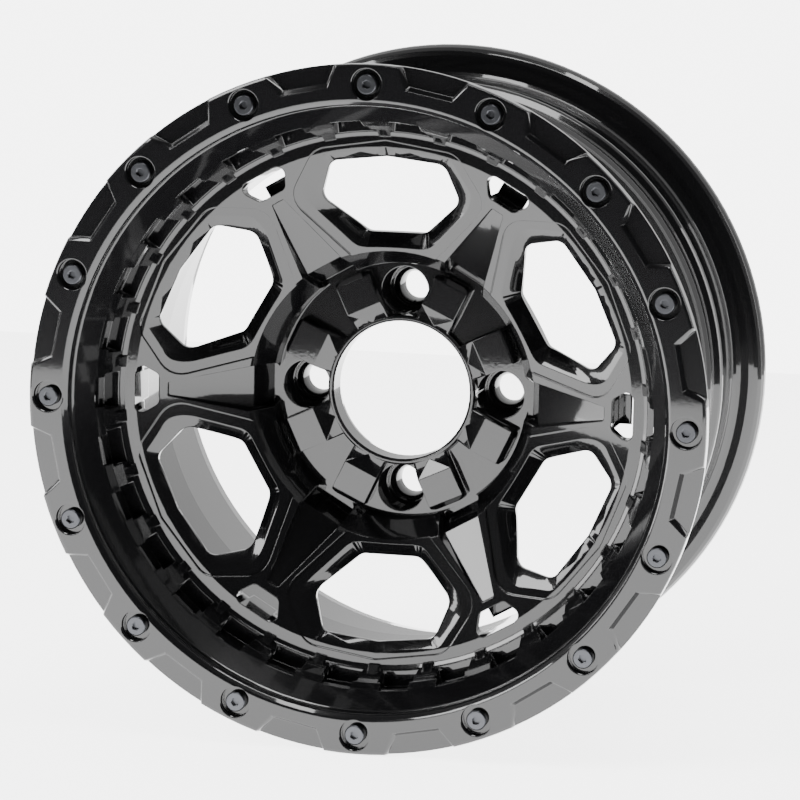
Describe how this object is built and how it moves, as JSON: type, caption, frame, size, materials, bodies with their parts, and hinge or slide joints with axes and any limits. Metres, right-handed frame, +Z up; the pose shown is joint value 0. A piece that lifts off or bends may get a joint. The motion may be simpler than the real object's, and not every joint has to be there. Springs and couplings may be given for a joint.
{
  "type": "alloy wheel",
  "caption": "Deep-dish cast alloy wheel with wedge spokes between large windows and a bolted outer bead ring, for a four-lug hub.",
  "frame": {"origin": "centre of the wheel: on its axis, midway between the outer face of the ring and the rear edge of the rim", "axes": "the wheel turns about Y; -Y is the outer side that shows, +Y the hub side; +Z is up; the valve hole is at the top, through the well"},
  "size_m": [0.34, 0.2026, 0.34],
  "materials": {
    "gloss_black_casting": "gloss",
    "gloss_black_ring": "gloss",
    "black_screw": "satin"
  },
  "bodies": {
    "root": {"wheel_casting": "gloss_black_casting", "outer_ring": "gloss_black_ring", "ring_screws": "black_screw"}
  },
  "joints": []
}
